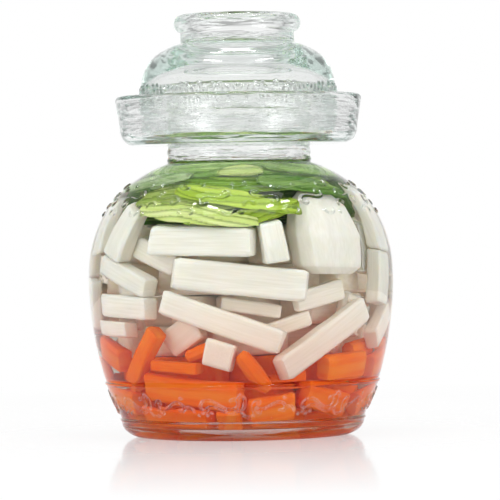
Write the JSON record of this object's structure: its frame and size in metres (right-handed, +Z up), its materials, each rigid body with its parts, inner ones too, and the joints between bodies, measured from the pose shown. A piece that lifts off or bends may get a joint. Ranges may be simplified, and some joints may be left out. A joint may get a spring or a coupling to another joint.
{
  "type": "fermentation jar",
  "caption": "Squat pressed-glass pickle jar with a water-seal moat round its mouth and a domed glass lid with a ring handle, packed with cut vegetables.",
  "frame": {"origin": "centre of the ring the jar stands on, at table height", "axes": "+Z up along the jar's axis; the jar is round, and -Y is the side that the picture shows"},
  "size_m": [0.18, 0.18, 0.2487],
  "materials": {
    "glass": "clear, pressed",
    "lid_glass": "clear, pressed",
    "daikon": "wet, cut",
    "carrot": "wet, cut",
    "leek": "wet, leafy"
  },
  "bodies": {
    "jar": {"jar": "glass", "daikon_stick_1": "daikon", "daikon_stick_2": "daikon", "daikon_stick_3": "daikon", "daikon_stick_4": "daikon", "daikon_stick_5": "daikon", "daikon_stick_6": "daikon", "daikon_stick_7": "daikon", "daikon_stick_8": "daikon", "daikon_stick_9": "daikon", "daikon_stick_10": "daikon", "daikon_stick_11": "daikon", "daikon_stick_12": "daikon", "daikon_stick_13": "daikon", "daikon_stick_14": "daikon", "daikon_stick_15": "daikon", "daikon_stick_16": "daikon", "daikon_stick_17": "daikon", "daikon_stick_18": "daikon", "daikon_stick_19": "daikon", "daikon_stick_20": "daikon", "daikon_round_1": "daikon", "carrot_piece_1": "carrot", "carrot_piece_2": "carrot", "carrot_piece_3": "carrot", "carrot_piece_4": "carrot", "carrot_piece_5": "carrot", "carrot_piece_6": "carrot", "carrot_piece_7": "carrot", "carrot_piece_8": "carrot", "carrot_piece_9": "carrot", "carrot_piece_10": "carrot", "carrot_piece_11": "carrot", "carrot_piece_12": "carrot", "carrot_piece_13": "carrot", "carrot_piece_14": "carrot", "carrot_slice_1": "carrot", "carrot_slice_2": "carrot", "leek_leaf_1": "leek", "leek_leaf_2": "leek", "leek_leaf_3": "leek", "leek_leaf_4": "leek", "leek_leaf_5": "leek", "leek_leaf_6": "leek", "leek_leaf_7": "leek", "leek_leaf_8": "leek", "leek_leaf_9": "leek", "leek_leaf_10": "leek", "daikon_sticks_back_1": "daikon", "daikon_sticks_back_2": "daikon", "daikon_sticks_back_3": "daikon", "carrot_pieces_back_1": "carrot", "carrot_pieces_back_2": "carrot", "daikon_round_back": "daikon", "carrot_slices_back": "carrot", "leek_leaves_back": "leek", "daikon_core": "daikon", "carrot_core": "carrot", "leek_core": "leek"},
    "lid": {"lid": "lid_glass"}
  },
  "joints": [
    {"name": "lid_lift", "type": "slide", "parent": "jar", "child": "lid", "axis": [0, 0, 1], "range_m": [0, 0.15]}
  ]
}
